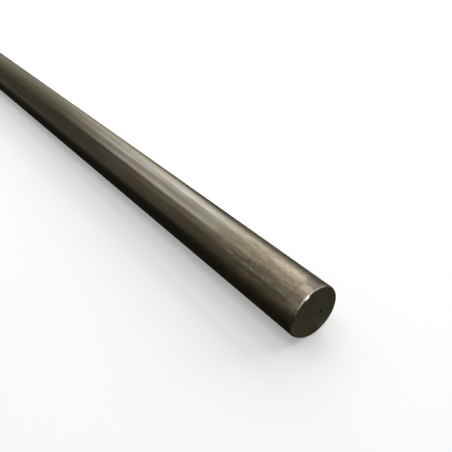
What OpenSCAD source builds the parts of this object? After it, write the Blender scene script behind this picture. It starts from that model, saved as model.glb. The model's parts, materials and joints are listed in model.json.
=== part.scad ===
// Round bar of stainless steel, sawn off at both ends, lying level along X.
// The origin is on its axis, at the middle of its length, and its near end faces +X.

/* [Bar] */
// Diameter of the bar
bar_d = 25; // [12:1:60]
// Length of the bar between its two end faces, as it is sold
bar_l = 500; // [250:50:1000]

/* [Edges] */
// Width of the filed bevel round the near end
near_bevel = 0.8; // [0.3:0.1:1.5]
// Width of the small edge break round the far end
far_break = 0.3; // [0.1:0.1:1]

/* [Burr] */
// Height of the saw's burr above the near end face
burr_h = 0.8; // [0.3:0.1:1.2]
// Width of the burr along the rim
burr_w = 3.2; // [1.6:0.2:5]
// Thickness of the burr at its tip
burr_tip = 0.25; // [0.1:0.05:0.4]
// How far the burr's outer face leans in towards the bar's axis at its tip
burr_lean = 0.4; // [0.05:0.05:0.6]
// How far the burr's inner slope reaches onto the end face, past the bevel
burr_reach = 0.3; // [0.1:0.1:1]
// Where the burr sits on the rim, in degrees from the top towards -Y
burr_at = 27; // [-180:1:180]

/* [Pit] */
// Diameter of the pit at the near end face
pit_d = 0.9; // [0.4:0.1:2]
// Depth of the pit
pit_depth = 0.45; // [0.2:0.05:1]
// Distance of the pit from the bar's axis
pit_off = 4.1; // [0:0.1:5]
// Where the pit lies round the axis, in degrees from the top towards -Y
pit_at = -108; // [-180:1:180]

/* [Hidden] */
$fn = 96;
bar_r = bar_d / 2;
near_face_r = bar_r - near_bevel;
far_face_r = bar_r - far_break;
burr_in_r = near_face_r - burr_reach;    // where the burr starts to rise from the face
burr_seat = 0.1;                         // keeps the burr's foot inside the bar's surface
burr_disc_r = (burr_w * burr_w / 4 + burr_h * burr_h) / (2 * burr_h);
through = 0.2;                           // how far a cutting shape runs past a face

// Puts what is drawn along +Z onto the bar's axis, with Z = 0 on the near end face
// and the drawing's +X axis turned to the given angle round the bar.
module on_near_end(angle = 0) {
    translate([bar_l / 2, 0, 0])
        rotate([angle, 0, 0])
            rotate([0, 90, 0])
                rotate([0, 0, 180])
                    children();
}

// The bar itself, turned from its half outline with both edges broken.
module bar_blank() {
    on_near_end()
        translate([0, 0, -bar_l])
            rotate_extrude()
                polygon([
                    [0, 0],
                    [far_face_r, 0],
                    [bar_r, far_break],
                    [bar_r, bar_l - near_bevel],
                    [near_face_r, bar_l],
                    [0, bar_l]
                ]);
}

// The lip that the saw pushed out as it broke through, which the file missed. It rises
// from the face in a slope, leans in towards its tip, and its crest is round.
module saw_burr() {
    on_near_end(burr_at)
        intersection() {
            rotate_extrude()
                polygon([
                    [burr_in_r, -near_bevel],
                    [bar_r - burr_seat, -near_bevel],
                    [bar_r - burr_lean, burr_h],
                    [bar_r - burr_lean - burr_tip, burr_h],
                    [burr_in_r, 0]
                ]);
            translate([0, 0, burr_h - burr_disc_r])
                rotate([0, 90, 0])
                    cylinder(r = burr_disc_r, h = bar_r + through);
        }
}

// The small pit in the near end face, deepest at its middle.
module face_pit() {
    on_near_end(pit_at)
        translate([pit_off, 0, -pit_depth])
            cylinder(h = pit_depth + through, d1 = 0, d2 = pit_d * (pit_depth + through) / pit_depth);
}

module round_bar() {
    color([0.50, 0.48, 0.44])
        difference() {
            union() {
                bar_blank();
                saw_burr();
            }
            face_pit();
        }
}

round_bar();
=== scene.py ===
import json
from math import asin, atan2, cos, degrees, hypot, pi, radians, sin, sqrt

import bmesh
import bpy
from mathutils import Matrix, Vector


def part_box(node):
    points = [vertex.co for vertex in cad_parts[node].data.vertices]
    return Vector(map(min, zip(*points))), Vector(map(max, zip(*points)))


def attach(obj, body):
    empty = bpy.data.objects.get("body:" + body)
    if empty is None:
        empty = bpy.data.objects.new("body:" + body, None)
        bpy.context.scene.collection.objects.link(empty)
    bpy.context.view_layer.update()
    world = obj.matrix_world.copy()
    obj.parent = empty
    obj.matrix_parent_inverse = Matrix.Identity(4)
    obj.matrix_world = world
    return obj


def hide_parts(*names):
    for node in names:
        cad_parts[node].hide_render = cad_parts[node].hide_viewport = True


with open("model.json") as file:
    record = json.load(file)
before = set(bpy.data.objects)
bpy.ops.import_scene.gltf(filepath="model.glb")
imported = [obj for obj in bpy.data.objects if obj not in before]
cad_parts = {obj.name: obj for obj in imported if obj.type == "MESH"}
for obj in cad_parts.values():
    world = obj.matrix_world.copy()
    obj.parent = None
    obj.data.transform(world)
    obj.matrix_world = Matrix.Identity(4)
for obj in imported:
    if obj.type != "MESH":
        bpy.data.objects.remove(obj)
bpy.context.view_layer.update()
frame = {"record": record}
scene = bpy.context.scene

# The camera is held above and beside the near end and looks down along the bar, so that
# the bar runs from the middle of the picture out through its left edge.
bar_low, bar_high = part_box("round_bar")
mounts = {mount["name"]: mount for mount in frame["record"]["mounts"]}
near_x = mounts["near_end_face"]["pos_m"][0]
far_x = mounts["far_end_face"]["pos_m"][0]
bar_r = mounts["bar_surface"]["dims"]["r_mm"] / 1000

camera_turn = radians(52.67)          # round the bar, from looking along +Y
camera_tilt = radians(34.07)          # below level
camera_back = 8.29 * bar_r            # from the near end face, along the bar
camera_aside = 9.816 * bar_r          # from the bar's axis, towards -Y
camera_up = 11.801 * bar_r            # above the bar's axis
sensor_width = 36.0                   # millimetres
lens_length = 42.96                   # millimetres, for that sensor
nearest_seen = 0.005

camera_data = bpy.data.cameras.new("photo_camera")
camera_data.sensor_width = sensor_width
camera_data.lens = lens_length
camera_data.clip_start = nearest_seen
camera = bpy.data.objects.new("photo_camera", camera_data)
scene.collection.objects.link(camera)
camera.location = (near_x + camera_back, -camera_aside, camera_up)
camera.rotation_euler = (pi / 2 - camera_tilt, 0, camera_turn)
scene.camera = camera


# The bar is one length of drawn stainless steel, sawn off at both ends. A file rounded the
# near edge over, deeper on one side than on the other, and missed the lip of burr that the
# saw pushed out. The far end has a small even edge.
rim_sides = 256
collar = 0.003                        # the plain stretch behind the near edge
near_stretch = 0.080                  # the handled stretch by the near end
collar_cuts = 2                       # how often each stretch of the sides is divided
near_cuts = 80
far_cuts = 110

edge_mean = 0.00085                   # how far the near edge is set in from the bar's side
edge_off = 0.00055                    # how much more that is on its deep side
edge_deep_at = radians(95)            # from the top towards -Y
edge_length = 1.6                     # its length along the bar, for each part set in
edge_steps = 6
edge_turn = 2 * asin(1 / sqrt(1 + edge_length**2))     # the angle that it bends through
far_edge = 0.0003

burr_at = radians(27)
burr_half = radians(7.3)              # half of the angle that it spans
burr_height = bar_high[0] - near_x
burr_lean = 0.0004
burr_tip = 0.00025
burr_end_share = 0.15                 # how much of the burr still stands at its two ends
crest_mean = 0.9                      # the ragged crest's mean height, as a share of the top
crest_waves = ((0.06, 97), (0.04, 233))     # its waves: how high, and how closely set

kerf_pitch = 0.00055                  # from one line of the saw to the next
kerf_depth = 0.000012
kerf_pattern = (0.0, 0.8, 0.3, 1.0, 0.5, 0.2, 0.9)     # shares of that depth, line by line
kerf_start = 0.3                      # of a pitch, from the bar's axis to the nearest line
cross_pitch = 0.0011                  # the same across the saw's lines

pit_at = radians(-108)
pit_off = 0.0041
pit_r = 0.00045
pit_depth = 0.00045
pit_floor = 0.1                       # its radius at the bottom, as a share of pit_r
pit_sides = 20
pit_over = 0.0002                     # how far the cone that cuts it stands out of the face

touching = 0.000001                   # closer to a plane than this, a point lies on it
side_r = bar_r - 0.00001              # outside this radius, a point lies on the bar's side
slant_r = bar_r - 0.0002              # the near rim's slanting edges reach in past this radius
slant_reach = 0.0003                  # and further than this along the bar
rounding_r = bar_r - 0.0015           # the near rim's rounding lies outside this radius
long_reach = 0.0006                   # the edges along the bar's sides are longer than this
end_share = 0.97                      # from this share of its normal along X, a face is an end
flat_share = 0.999                    # and the flat near face has more than this


def around(angle, radius, x=0.0):
    """A point at an angle from the top towards -Y, at a radius from the bar's axis."""
    return Vector((x, -sin(angle) * radius, cos(angle) * radius))


def angle_of(point):
    return atan2(-point.y, point.z)


def radius_of(point):
    return hypot(point.y, point.z)


def set_in(angle):
    """How far the near edge is set in from the bar's side at an angle."""
    return edge_mean + edge_off * cos(angle - edge_deep_at)


def pick(mesh, kind, test):
    """Selects the faces or the edges of the mesh in edit mode that pass the test."""
    mode = {"faces": "FACE", "edges": "EDGE"}[kind]
    bpy.ops.mesh.select_mode(type=mode)
    bpy.ops.mesh.select_all(action="DESELECT")
    shape = bmesh.from_edit_mesh(mesh)
    for item in getattr(shape, kind):
        if test(item):
            item.select_set(True)
    shape.select_flush_mode()
    bmesh.update_edit_mesh(mesh)


def middle_x(edge):
    return (edge.verts[0].co.x + edge.verts[1].co.x) / 2


def reach_x(edge):
    return abs(edge.verts[0].co.x - edge.verts[1].co.x)


bpy.ops.object.select_all(action="DESELECT")
bpy.ops.mesh.primitive_cylinder_add(
    vertices=rim_sides,
    radius=bar_r,
    depth=near_x - far_x,
    end_fill_type="NGON",
    location=((near_x + far_x) / 2, 0, 0),
    rotation=(0, pi / 2, 0),
)
bar = bpy.context.object
bar.name = "drawn_bar"
bpy.ops.object.transform_apply(location=True, rotation=True, scale=True)
bpy.ops.object.mode_set(mode="EDIT")

handled_x = near_x - near_stretch
for cut_x in (near_x - collar, handled_x):
    bpy.ops.mesh.select_all(action="SELECT")
    bpy.ops.mesh.bisect(plane_co=(cut_x, 0, 0), plane_no=(1, 0, 0))

# Both ends: the face is set in, and the rim is drawn back along the bar.
for face_x, out, width, off, length in (
    (near_x, 1, edge_mean, edge_off, edge_length),
    (far_x, -1, far_edge, 0, 1),
):
    pick(bar.data, "faces", lambda f: f.normal.x * out > end_share)
    bpy.ops.mesh.inset(thickness=width)
    bpy.ops.transform.translate(value=tuple(-off * around(edge_deep_at, 1)))
    shape = bmesh.from_edit_mesh(bar.data)
    for v in shape.verts:
        if abs(v.co.x - face_x) < touching and radius_of(v.co) > side_r:
            v.co.x -= out * length * (width + off * cos(angle_of(v.co) - edge_deep_at))
    bmesh.update_edit_mesh(bar.data)

# The near edge is rounded over in steps, and at the burr it is pulled out into the burr:
# a wall that leans in, a thin ragged crest, and a slope back down to the face.
pick(
    bar.data,
    "edges",
    lambda e: middle_x(e) > near_x - collar / 2
    and reach_x(e) > slant_reach
    and min(radius_of(v.co) for v in e.verts) < slant_r,
)
bpy.ops.mesh.subdivide(number_cuts=edge_steps - 1)
shape = bmesh.from_edit_mesh(bar.data)
for v in shape.verts:
    angle = angle_of(v.co)
    length = edge_length * set_in(angle)
    step = round(edge_steps * (1 - (near_x - v.co.x) / length))
    if not 0 < step < edge_steps or radius_of(v.co) < rounding_r:
        continue
    aside = abs(angle - burr_at) / burr_half
    if aside < 1:
        standing = burr_end_share + (1 - burr_end_share) * sqrt(1 - aside * aside)
        ragged = crest_mean + sum(high * sin(angle * close) for high, close in crest_waves)
        crest_x = near_x + burr_height * standing * ragged
        foot_out = around(angle, bar_r, near_x - length)
        foot_in = around(angle, bar_r - set_in(angle), near_x)
        crest_out = around(angle, bar_r - burr_lean, crest_x)
        crest_in = around(angle, bar_r - burr_lean - burr_tip, crest_x)
        if step <= edge_steps / 2:
            v.co = foot_out.lerp(crest_out, 2 * step / edge_steps)
        else:
            v.co = crest_in.lerp(foot_in, (2 * step - edge_steps - 2) / (edge_steps - 2))
    else:
        bend = edge_turn * step / edge_steps
        bend_r = length / sin(edge_turn)
        v.co = around(
            angle, bar_r - bend_r * (1 - cos(bend)), near_x - length + bend_r * sin(bend)
        )
bmesh.update_edit_mesh(bar.data)

# The sawn face is cut into the lines that the blade's teeth left, and across them.
saw_way = around(burr_at, 1)
cross_way = around(burr_at + pi / 2, 1)
for way, pitch in ((saw_way, kerf_pitch), (cross_way, cross_pitch)):
    lines = int(bar_r / pitch)
    for line in range(-lines, lines + 1):
        pick(bar.data, "faces", lambda f: f.normal.x > flat_share)
        bpy.ops.mesh.bisect(
            plane_co=tuple(way * (line + kerf_start) * pitch + Vector((near_x, 0, 0))),
            plane_no=tuple(way),
        )
shape = bmesh.from_edit_mesh(bar.data)
for v in shape.verts:
    face_r = side_r - set_in(angle_of(v.co))
    if abs(v.co.x - near_x) < touching and radius_of(v.co) < face_r:
        line = round(v.co.dot(saw_way) / kerf_pitch)
        v.co.x -= kerf_depth * kerf_pattern[line % len(kerf_pattern)]
bmesh.update_edit_mesh(bar.data)

# The long sides are divided, finely on the handled stretch and coarsely behind it.
for cuts, x_from, x_to in (
    (collar_cuts, near_x - collar, near_x),
    (near_cuts, handled_x, near_x - collar),
    (far_cuts, far_x, handled_x),
):
    pick(
        bar.data,
        "edges",
        lambda e: x_from < middle_x(e) < x_to
        and reach_x(e) > long_reach
        and min(radius_of(v.co) for v in e.verts) > side_r,
    )
    bpy.ops.mesh.subdivide(number_cuts=cuts)
bpy.ops.object.mode_set(mode="OBJECT")

# The pit is taken out of the face with a cone.
bpy.ops.object.select_all(action="DESELECT")
bpy.ops.mesh.primitive_cone_add(
    vertices=pit_sides,
    radius1=pit_r * (pit_depth + pit_over) / pit_depth,
    radius2=pit_r * pit_floor,
    depth=pit_depth + pit_over,
    location=around(pit_at, pit_off, near_x + (pit_over - pit_depth) / 2),
    rotation=(0, -pi / 2, 0),
)
pit_tool = bpy.context.object
bpy.ops.object.select_all(action="DESELECT")
bar.select_set(True)
bpy.context.view_layer.objects.active = bar
pit_cut = bar.modifiers.new("pit", "BOOLEAN")
pit_cut.operation = "DIFFERENCE"
pit_cut.solver = "EXACT"
pit_cut.object = pit_tool
bpy.ops.object.modifier_apply(modifier="pit")
bpy.data.objects.remove(pit_tool)

# Drawing left the sides very slightly wavy, and handling has dented the near stretch. The
# dents reach their full depth on the nearer half of it.
long_side = bar.vertex_groups.new(name="long_side")
handled = bar.vertex_groups.new(name="handled")
for v in bar.data.vertices:
    if near_x - collar > v.co.x > far_x + 2 * far_edge and radius_of(v.co) > side_r:
        long_side.add([v.index], 1.0, "REPLACE")
        share = (v.co.x - handled_x) / near_stretch
        if share > 0:
            handled.add([v.index], min(1.0, 2 * share), "REPLACE")
for name, group, depth, length, width in (
    ("drawn_waves", "long_side", 0.000020, 0.090, 0.0040),
    ("handling_dents", "handled", 0.000030, 0.006, 0.0030),
):
    stretch = bpy.data.objects.new(name, None)
    scene.collection.objects.link(stretch)
    stretch.scale = (length, width, width)
    bpy.context.view_layer.update()
    waves = bpy.data.textures.new(name, "CLOUDS")
    waves.noise_scale = 1.0
    waves.noise_depth = 1
    push = bar.modifiers.new(name, "DISPLACE")
    push.texture = waves
    push.texture_coords = "OBJECT"
    push.texture_coords_object = stretch
    push.vertex_group = group
    push.strength = depth
    push.mid_level = 0.5
    bpy.ops.object.modifier_apply(modifier=name)
    bpy.data.objects.remove(stretch)
bar.vertex_groups.clear()


class Tone:
    """A socket's value in a material, wrapped so that sums on it are Python sums."""

    def __init__(self, tree, socket=None):
        self.tree = tree
        self.socket = socket

    def node(self, kind, settings, values, result=0):
        """Adds a node: its settings come first, then its sockets' values or links."""
        made = self.tree.nodes.new("ShaderNode" + kind)
        for name, value in settings.items():
            setattr(made, name, value)
        for key, value in values.items():
            if isinstance(value, Tone):
                self.tree.links.new(value.socket, made.inputs[key])
            else:
                made.inputs[key].default_value = value
        return Tone(self.tree, made.outputs[result])

    def math(self, operation, *values):
        return self.node("Math", {"operation": operation}, dict(enumerate(values)))

    def __add__(self, other):
        return self.math("ADD", self, other)

    def __radd__(self, other):
        return self.math("ADD", other, self)

    def __sub__(self, other):
        return self.math("SUBTRACT", self, other)

    def __rsub__(self, other):
        return self.math("SUBTRACT", other, self)

    def __mul__(self, other):
        return self.math("MULTIPLY", self, other)

    def __rmul__(self, other):
        return self.math("MULTIPLY", other, self)

    def sine(self):
        return self.math("SINE", self)

    def rising(self, low, high):
        """0 below the low value, 1 above the high one, and smooth between them."""
        return self.node(
            "MapRange",
            {"interpolation_type": "SMOOTHSTEP"},
            {"Value": self, "From Min": low, "From Max": high},
        )

    def band(self, low, high, soft):
        """1 between two values and 0 outside them, with soft steps."""
        return self.rising(low - soft, low + soft) - self.rising(high - soft, high + soft)

    def tint(self, colour):
        """A colour, made stronger or weaker by this value."""
        return self.node(
            "VectorMath", {"operation": "SCALE"}, {0: colour, "Scale": self}
        )

    def with_colour(self, other):
        """The sum of this colour and another one."""
        return self.node("VectorMath", {"operation": "ADD"}, {0: self, 1: other})


def blend(share, first, second):
    """A colour between two, by a share from 0 to 1."""
    return share.node(
        "Mix", {"data_type": "RGBA"}, {0: share, 6: first, 7: second}, result=2
    )


def place_on(tree):
    """The place on an object, in metres from the middle of the bar."""
    return Tone(tree).node("TexCoord", {}, {}, result="Object")


def place_along(place, axis):
    """The place along one axis."""
    return place.node("SeparateXYZ", {}, {0: place}, result=axis)


def turn_of(place):
    """The place round the bar, in degrees from the top towards -Y."""
    aside = place_along(place, "Y")
    return place.math("ARCTAN2", 0.0 - aside, place_along(place, "Z")) * (180 / pi)


def grain(place, length, width, detail=2.0):
    """Noise stretched along the bar: the length and width of its marks, in metres."""
    stretched = place.node(
        "VectorMath", {"operation": "MULTIPLY"}, {0: place, 1: (1 / length, 1 / width, 1 / width)}
    )
    return place.node("TexNoise", {}, {"Vector": stretched, "Scale": 1.0, "Detail": detail})


def start_steel(name):
    """A new steel material and its shader."""
    steel = bpy.data.materials.new(name)
    steel.use_nodes = True
    shader = steel.node_tree.nodes["Principled BSDF"]
    shader.inputs["Metallic"].default_value = 1.0
    return steel, shader


def finish_steel(shader, colour, roughness, height, depth):
    """Links what varies over a steel surface to its shader."""
    tree = colour.tree
    tree.links.new(colour.socket, shader.inputs["Base Color"])
    tree.links.new(roughness.socket, shader.inputs["Roughness"])
    bump = colour.node("Bump", {}, {"Height": height, "Distance": depth, "Strength": 1.0})
    tree.links.new(bump.socket, shader.inputs["Normal"])


def stain(along, turn, wobble, behind, at, half_length, half_turn):
    """A soft patch on the bar: how far behind the near face, and where round the bar."""
    uneven = 1.6                      # how far the wobble moves its outline
    from_middle = (along - (near_x - behind)) * (1 / half_length)
    round_middle = (turn - at) * (1 / half_turn)
    distance = from_middle * from_middle + round_middle * round_middle
    return 1.0 - (distance + (wobble - 0.5) * uneven).rising(0.25, 1.25)


# The drawn skin: tan and mottled where hands and the saw have been, greyer in the middle,
# and browner towards the far end, all of it with fine lines along the bar.
near_tan = (0.244, 0.206, 0.142, 1)
near_olive = (0.176, 0.160, 0.114, 1)
near_shade = (0.125, 0.112, 0.084, 1)
middle_grey = (0.206, 0.209, 0.181, 1)
tarnish_brown = (0.198, 0.180, 0.150, 1)
far_gold = (0.208, 0.181, 0.125, 1)
far_grey = (0.190, 0.176, 0.148, 1)
ruddy_brown = (0.216, 0.170, 0.134, 1)
tan_bright = (0.330, 0.285, 0.215, 1)
violet_brown = (0.108, 0.092, 0.081, 1)
scuff_and_reflection = (0.345, 0.350, 0.300, 1)
rim_highlight = (0.420, 0.375, 0.305, 1)
gold_sheen = (0.360, 0.300, 0.180, 1)
burr_highlight = (0.800, 0.760, 0.680, 1)

tan_ends = 0.085                      # how far behind the near face the handled tan ends,
tan_full = 0.030                      # and where it is at its full strength
brown_full = 0.260                    # the same for the browner far stretch
brown_begins = 0.130
smear_share = 0.45                    # of the lighter and of the darker smears
highlight_begins = 0.0008                   # where the painted highlight on the burr's foot begins,
highlight_full = 0.0001                     # and where it is at its full strength
line_waver = 9.0                     # degrees that the line of scuff and painted reflection strays to its sides
skin_rough = 0.195
handled_rough = 0.16                  # how much rougher the handled stretch is
skin_relief = 0.000010                # how high its lines and marks stand
burr_from = degrees(burr_at - burr_half)
burr_to = degrees(burr_at + burr_half)

drawn, shader = start_steel("drawn_steel")
place = place_on(drawn.node_tree)
along = place_along(place, "X")
turn = turn_of(place)
broad = grain(place, 0.1100, 0.0045)
streak = grain(place, 0.0450, 0.0011, 3.0)
hair = grain(place, 0.0160, 0.00035)
tarnish = grain(place, 0.0220, 0.0060)
ruddy = grain(place, 0.0290, 0.0075, 3.0)
mottle = grain(place, 0.0075, 0.0030, 4.0)
smear = grain(place, 0.0120, 0.0011, 3.0)
speck = grain(place, 0.0016, 0.0009, 3.0)

by_near = along.rising(near_x - tan_ends, near_x - tan_full)
by_far = 1.0 - along.rising(near_x - brown_full, near_x - brown_begins)
near_share = (mottle + (smear - 0.5) * 0.60).rising(0.34, 0.62)
tarnished = blend(tarnish.rising(0.40, 0.62), tarnish_brown, middle_grey)
far_brown = blend(turn.rising(25, 65), far_gold, far_grey)
colour = blend(near_share, near_olive, near_tan)
colour = blend(smear.rising(0.52, 0.72) * smear_share, colour, tan_bright)
colour = blend((1.0 - smear.rising(0.30, 0.46)) * smear_share, colour, near_shade)
colour = blend(by_near, tarnished, colour)
colour = blend(by_far * 0.8, colour, far_brown)
colour = blend(ruddy.rising(0.46, 0.66) * 0.5, colour, ruddy_brown)

# Stains, rubbed places, painted highlights and a painted sheen: how far behind the near face
# each one lies and where round the bar, its half length and half turn, the noise in its
# outline, its strength and its colour.
for behind, at, half_length, half_turn, wobble, strength, stained in (
    (0.0130, 2, 0.0130, 11, mottle, 0.60, tan_bright),
    (0.0035, -9, 0.0050, 17, mottle, 0.90, violet_brown),
    # These two are painted highlights along the near rim.
    (0.0025, 14, 0.0040, 9, mottle, 0.55, rim_highlight),
    (0.0025, 49, 0.0040, 9, mottle, 0.50, rim_highlight),
    (0.0250, 32, 0.0110, 9, mottle, 0.40, violet_brown),
    # This one is a painted golden sheen along the bar, on its upper side towards +Y.
    (0.1500, -38, 0.0750, 14, tarnish, 0.70, gold_sheen),
):
    patch = stain(along, turn, wobble, behind, at, half_length, half_turn)
    colour = blend(patch * strength, colour, stained)

# A light line runs along the bar, wavering and broken: partly a scuff and partly a painted
# reflection.
wavering = turn + (mottle - 0.5) * line_waver
scuff_and_reflection_line = stain(along, wavering, smear, 0.022, 46, 0.029, 3.5)
colour = blend(scuff_and_reflection_line * (0.25 + mottle.rising(0.36, 0.60) * 0.65), colour, scuff_and_reflection)
# The burr's foot gets a painted highlight.
burr_foot_highlight = turn.band(burr_from, burr_to, 3.0)
burr_foot_highlight = burr_foot_highlight * along.rising(near_x - highlight_begins, near_x - highlight_full)
colour = blend(burr_foot_highlight * 0.6, colour, burr_highlight)
line_shade = 0.74 + streak * 0.34 + hair * 0.18
speck_shade = 1.0 - by_near * (1.0 - speck.rising(0.28, 0.58)) * 0.22
toned = (line_shade * speck_shade).tint(colour)
uneven_rough = (broad - 0.5) * 0.06 + (streak - 0.5) * 0.08
roughness = skin_rough + by_near * handled_rough + uneven_rough
relief = streak * 0.8 + hair * 0.2 + by_near * (mottle * 1.2 + smear * 0.6 + speck * 0.5)
finish_steel(shader, toned, roughness, relief, skin_relief)
bar.data.materials.append(drawn)

# The filed rim and the burr: brighter steel with short marks across the edge. The rim is
# painted darker towards +Y, and darker still lower down all round.
filed_bright = (0.58, 0.54, 0.47, 1)
filed_dull = (0.26, 0.245, 0.21, 1)
filed_dark = (0.10, 0.092, 0.075, 1)
filed_rough = 0.30
filed_relief = 0.000015

filed, shader = start_steel("filed_steel")
place = place_on(filed.node_tree)
turn = turn_of(place)
marks = grain(place, 0.0008, 0.0003)
patches = grain(place, 0.0030, 0.0020)
colour = blend(patches.rising(0.38, 0.66), filed_dull, filed_bright)
colour = blend((1.0 - turn.rising(-20, 15)) * 0.5, colour, filed_dull)
colour = blend((1.0 - turn.band(-26, 70, 9)) * 0.8, colour, filed_dark)
# The burr is bright steel, and its cream lifts it into a painted highlight.
colour = blend(turn.band(burr_from, burr_to, 2.0), colour, burr_highlight)
roughness = filed_rough + patches * 0.14
finish_steel(shader, colour, roughness, marks, filed_relief)
bar.data.materials.append(filed)

# The sawn ends: dark and olive, with cloudy bluish and brown tints and the blade's lines.
# The near face has a brown and a light spot by its rim, and it is black in the pit and darker
# round it.
sawn_olive = (0.080, 0.077, 0.044, 1)
sawn_blue = (0.062, 0.066, 0.053, 1)
sawn_brown = (0.088, 0.070, 0.036, 1)
sawn_light = (0.125, 0.127, 0.088, 1)
pit_black = (0.004, 0.004, 0.003, 1)
brown_at = around(radians(165), 0.85 * bar_r, near_x)
brown_spread = 0.0030
light_at = around(radians(-150), 0.88 * bar_r, near_x)
light_spread = 0.0026
pit_middle = around(pit_at, pit_off, near_x)
sawn_rough = 0.42
sawn_relief = 0.000012

sawn, shader = start_steel("sawn_steel")
place = place_on(sawn.node_tree)
clouds = grain(place, 0.0060, 0.0060, 3.0)
tints = grain(place, 0.0040, 0.0040)
fine = grain(place, 0.0010, 0.0006)
across_saw = place.node(
    "VectorMath", {"operation": "DOT_PRODUCT"}, {0: place, 1: saw_way}, result="Value"
)
teeth = (across_saw * (2 * pi / kerf_pitch) + tints * 5.0).sine()


def spread_from(point, spread):
    """How far the place on the sawn end is from a point, in spreads."""
    distance = place.node(
        "VectorMath", {"operation": "DISTANCE"}, {0: place, 1: point}, result="Value"
    )
    return distance * (1 / spread)


from_pit = spread_from(pit_middle, pit_r)
brown_spot = 1.0 - (spread_from(brown_at, brown_spread) + tints * 0.8).rising(0.7, 1.6)
light_spot = 1.0 - (spread_from(light_at, light_spread) + tints * 0.8).rising(0.7, 2.0)
in_pit = 1.0 - from_pit.rising(1.0, 1.8)
pit_halo = 1.0 - (from_pit + tints).rising(1.5, 5.0)
colour = blend(clouds.rising(0.40, 0.65), sawn_olive, sawn_blue)
colour = blend(tints.rising(0.52, 0.70) * 0.4, colour, sawn_brown)
colour = blend(brown_spot * 0.7, colour, sawn_brown)
colour = blend(light_spot * 0.8, colour, sawn_light)
colour = (1.0 - pit_halo * 0.35).tint(colour)
colour = blend(in_pit, colour, pit_black)
toned = (0.85 + fine * 0.3).tint(colour)
roughness = sawn_rough + clouds * 0.20
finish_steel(shader, toned, roughness, teeth * 0.35 + fine, sawn_relief)
bar.data.materials.append(sawn)

# Each face gets its steel by its place and by how it is turned.
burr_foot = 0.0001                    # how far behind the near face the burr's steel begins
filed_depth = 0.35                    # how far down the rim is filed, for each part set in
side_share = 0.15                     # up to this share of its normal along X, a face is a side
inner_r = bar_r - 0.003               # inside this radius there are only the ends and the pit
smooth_up_to = radians(30)


def on_burr(face):
    middle = face.calc_center_median()
    return middle.x > near_x - burr_foot and abs(angle_of(middle) - burr_at) < burr_half


def on_rim(face):
    middle = face.calc_center_median()
    filed_x = near_x - filed_depth * set_in(angle_of(middle))
    return side_share < face.normal.x < end_share and middle.x > filed_x


def on_sawn_end(face):
    return abs(face.normal.x) >= end_share or radius_of(face.calc_center_median()) < inner_r


bpy.ops.object.mode_set(mode="EDIT")
for steel, test in ((filed, on_burr), (filed, on_rim), (sawn, on_sawn_end)):
    pick(bar.data, "faces", test)
    bar.active_material_index = bar.data.materials.find(steel.name)
    bpy.ops.object.material_slot_assign()
bpy.ops.object.mode_set(mode="OBJECT")
bpy.ops.object.shade_smooth_by_angle(angle=smooth_up_to)
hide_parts("round_bar")
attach(bar, "root")


# The floor is a plain pale studio floor that keeps the bar's soft shadow. Where the camera
# and the reflections see it, it is lifted towards white, and further out it turns into the
# white background.
floor_size = 12
floor_parts = 8
floor_pale = (0.92, 0.92, 0.92, 1)
floor_rough = 0.9
floor_lift = 0.30                     # how far it is lifted towards the white background
lit_reach = 0.30                      # beyond this the floor turns into the background
white_reach = 0.90                    # and beyond this it is all white

bpy.ops.object.select_all(action="DESELECT")
bpy.ops.mesh.primitive_grid_add(
    size=floor_size,
    x_subdivisions=floor_parts,
    y_subdivisions=floor_parts,
    location=(0, 0, bar_low[2]),
)
floor = bpy.context.object
floor.name = "floor"
bpy.ops.object.transform_apply(location=True, rotation=True, scale=True)
floor_paint = bpy.data.materials.new("floor_paint")
floor_paint.use_nodes = True
tree = floor_paint.node_tree
paint = tree.nodes["Principled BSDF"]
paint.inputs["Base Color"].default_value = floor_pale
paint.inputs["Roughness"].default_value = floor_rough
paint.inputs["Specular IOR Level"].default_value = 0.0


def seen_rays(tree):
    """1 for rays from the camera, by reflection or through glass, and 0 for the rest."""
    seen = Tone(tree).node("LightPath", {}, {}, result="Is Camera Ray")
    for ray in ("Is Glossy Ray", "Is Transmission Ray"):
        seen = seen.math("MAXIMUM", seen, seen.node("LightPath", {}, {}, result=ray))
    return seen


white = Tone(tree).node("Emission", {}, {"Color": (1, 1, 1, 1), "Strength": 1.0})
place = place_on(tree)
far_off = place.node("VectorMath", {"operation": "LENGTH"}, {0: place}, result="Value")
lift = floor_lift + far_off.rising(lit_reach, white_reach) * (1 - floor_lift)
floor_mix = white.node(
    "MixShader",
    {},
    {0: seen_rays(tree) * lift, 1: Tone(tree, paint.outputs[0]), 2: white},
)
tree.links.new(floor_mix.socket, tree.nodes["Material Output"].inputs["Surface"])
floor.data.materials.append(floor_paint)


# The lamps are soft strips that hang over the bar and run along it. They light the floor.
# The steel doesn't reflect them: the painted tent stands for them there.
def strip_light(name, from_angle, to_angle, radiance):
    """A lamp along the bar, between two angles from the top towards -Y, in degrees."""
    reach = 1.0                       # from the bar's axis
    x_from = -1.5
    x_to = 0.6
    width = 2 * reach * sin(radians(to_angle - from_angle) / 2)
    length = x_to - x_from
    data = bpy.data.lights.new(name, "AREA")
    data.shape = "RECTANGLE"
    data.size = length
    data.size_y = width
    data.energy = radiance * pi * length * width
    lamp = bpy.data.objects.new(name, data)
    scene.collection.objects.link(lamp)
    outward = around(radians(from_angle + to_angle) / 2, 1)
    along = Vector((1, 0, 0))
    across = outward.cross(along)
    place = outward * reach + along * (x_from + x_to) / 2
    lamp.matrix_world = (
        Matrix.Translation(place) @ Matrix((along, across, outward)).transposed().to_4x4()
    )
    lamp.visible_camera = False
    lamp.visible_glossy = False


strip_light("window_light", -75, -38, 3.0)
strip_light("ceiling_left", -32, -14, 1.5)
strip_light("ceiling_right", -4, 24, 1.5)

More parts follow.
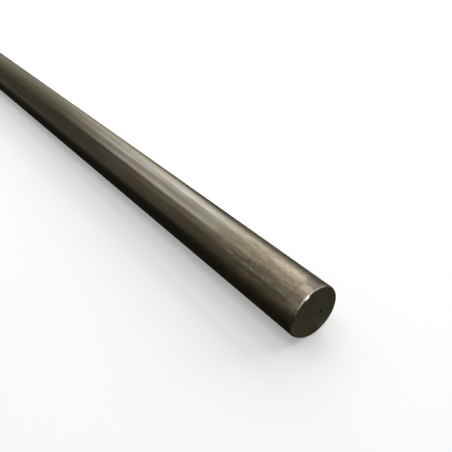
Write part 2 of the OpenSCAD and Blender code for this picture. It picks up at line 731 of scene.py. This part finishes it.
# The room is white where it is seen, and lights the floor from all round like a grey one.
room_white = (1, 1, 1, 1)
room_grey = (0.35, 0.35, 0.35, 1)
world = bpy.data.worlds.new("studio")
world.use_nodes = True
scene.world = world
tree = world.node_tree
backdrop = blend(seen_rays(tree), room_grey, room_white)
tree.links.new(backdrop.socket, tree.nodes["Background"].inputs["Color"])


# A painted tent of cloth stands round the bar, as a studio has for shiny metal, with a
# cloth on the floor. Only the steel sees them: they hide the white room from it.
def cloth(name):
    """Stages the object just made as a cloth, and returns its paint."""
    sheet = bpy.context.object
    sheet.name = name
    bpy.ops.object.transform_apply(location=True, rotation=True, scale=True)
    paint = bpy.data.materials.new(name + "_paint")
    paint.use_nodes = True
    shader = paint.node_tree.nodes["Principled BSDF"]
    shader.inputs["Base Color"].default_value = (0, 0, 0, 1)
    shader.inputs["Specular IOR Level"].default_value = 0.0
    shader.inputs["Roughness"].default_value = 1.0
    shader.inputs["Emission Strength"].default_value = 1.0
    sheet.data.materials.append(paint)
    sheet.visible_camera = False
    sheet.visible_diffuse = False
    sheet.visible_shadow = False
    return paint.node_tree, shader


cool_white = (0.97, 1.00, 1.05)
plain_white = (1.02, 1.00, 0.97)
warm_white = (1.04, 1.00, 0.80)
olive_white = (1.16, 1.00, 0.68)
tent_r = 1.0
tent_sides = 64
tent_from = -6.0
tent_to = 3.0

bpy.ops.object.select_all(action="DESELECT")
bpy.ops.mesh.primitive_cylinder_add(
    vertices=tent_sides,
    radius=tent_r,
    depth=tent_to - tent_from,
    end_fill_type="NOTHING",
    location=((tent_from + tent_to) / 2, 0, 0),
    rotation=(0, pi / 2, 0),
)
tree, shader = cloth("tent")
place = place_on(tree)
along = place_along(place, "X")
turn = turn_of(place)

# Its bands lie between two turns round the bar, in degrees, and two places along it, in
# metres, with soft borders. What they are multiplied by is their strength, where 1 is white.
by_horizon = 1.0 - turn.rising(-84, -68)
room = 0.45 - turn.rising(-80, 50) * 0.33
room = room * (1.0 - by_horizon * along.rising(-1.0, -0.65) * 0.75)
room = room * (1.0 - by_horizon * (1.0 - along.rising(-2.5, -2.0)) * 0.3)
horizon = turn.band(-92, -72, 5) * along.band(-1.75, -0.85, 0.3) * 0.50
window = turn.band(-72, -31, 7) * along.rising(-1.9, -0.8) * 1.3
window = window * (1.0 - (1.0 - turn.rising(-75, -56)) * along.rising(-0.72, -0.5) * 0.6)
window_far = turn.band(-74, -50, 6) * along.band(-1.12, -0.8, 0.12) * 0.45
window_core = turn.band(-52, -35, 4) * along.rising(-1.3, -0.85) * 1.35
ceiling_turn = turn + (1.0 - along.rising(-1.2, -0.95)) * 6.0
ceiling = ceiling_turn.band(-29, 25, 4) * along.rising(-1.75, -1.15) * 1.05
ceiling_gap = 1.0 - turn.band(-14, -3, 4) * (1.0 - along.rising(-0.85, -0.6)) * 0.42
tube = turn.band(8, 18, 3) * along.band(-1.3, -0.7, 0.15) * 0.7
far_tube = turn.band(-32, -24, 3) * along.band(-1.45, -1.0, 0.12)
side = turn.band(30, 48, 8) * along.rising(-1.4, -0.7) * 0.40
low_side = turn.band(36, 86, 10) * along.band(-1.4, -0.65, 0.2) * 0.12
front = turn.band(44, 100, 8) * along.rising(-0.6, -0.2) * 0.28
glow = room.tint(warm_white)
for light, colour in (
    (window, cool_white),
    (window_core, cool_white),
    (ceiling * ceiling_gap, plain_white),
    (tube, plain_white),
    (far_tube, cool_white),
    (horizon, warm_white),
    (window_far, warm_white),
    (side, plain_white),
    (low_side, olive_white),
    (front, plain_white),
):
    glow = glow.with_colour(light.tint(colour))
tree.links.new(glow.socket, shader.inputs["Emission Color"])

# The floor cloth glows with painted light that only the steel reflects. On the camera's side
# of the bar it is dark, and darkest next to the bar: painted shade and the bar's painted
# shadow. It is pale behind the bar's middle, and past the bar's two ends, where the sawn
# faces reflect it.
floor_white = (1.07, 1.00, 0.80)
floor_near = (1.05, 1.00, 0.85, 1)
floor_gold = (1.18, 1.00, 0.57, 1)
floor_cool = (0.88, 1.00, 1.26, 1)
cloth_glow = 0.31                     # its strength at those two places, where 1 is white
cloth_lift = 0.0002                   # above the floor

bpy.ops.object.select_all(action="DESELECT")
bpy.ops.mesh.primitive_grid_add(
    size=1,
    x_subdivisions=2,
    y_subdivisions=2,
    location=((tent_from + tent_to) / 2, 0, bar_low[2] + cloth_lift),
)
bpy.context.object.scale = (tent_to - tent_from, 2 * tent_r, 1)
tree, shader = cloth("floor_cloth")
place = place_on(tree)
along = place_along(place, "X")
aside = place_along(place, "Y")
shade_side = (0.0 - aside).rising(0.01, 0.12) * 0.08 + (0.0 - aside).rising(0.1, 0.5) * 0.05
near_floor = along.rising(0.0, 0.16)
shade_side = shade_side * (1.9 - near_floor * 0.9) + 0.015 + near_floor * 0.005
pale_side = cloth_glow - along.rising(-0.04, 0.09) * 0.26
pale_side = pale_side - (1.0 - along.rising(-0.4, -0.15)) * 0.17
pale_share = aside.rising(0.0, 0.05)
pale_colour = blend(along.rising(-0.32, -0.16), floor_cool, floor_gold)
pale_colour = blend(along.rising(0.02, 0.10), pale_colour, floor_near)
past_near_end = along.rising(near_x - 0.001, near_x + 0.003) * aside.rising(-0.024, -0.008)
past_far_end = along.band(far_x - 0.11, far_x - 0.002, 0.002) * aside.band(-0.085, 0.085, 0.02)
past_ends = past_near_end + past_far_end
end_glow = cloth_glow - along.rising(near_x + 0.002, near_x + 0.022) * 0.10
glow = (shade_side * (1.0 - pale_share) * (1.0 - past_ends)).tint(floor_white)
glow = glow.with_colour((pale_side * pale_share * (1.0 - past_ends)).tint(pale_colour))
glow = glow.with_colour((end_glow * past_ends).tint(floor_white))
tree.links.new(glow.socket, shader.inputs["Emission Color"])

scene.view_settings.view_transform = "Standard"
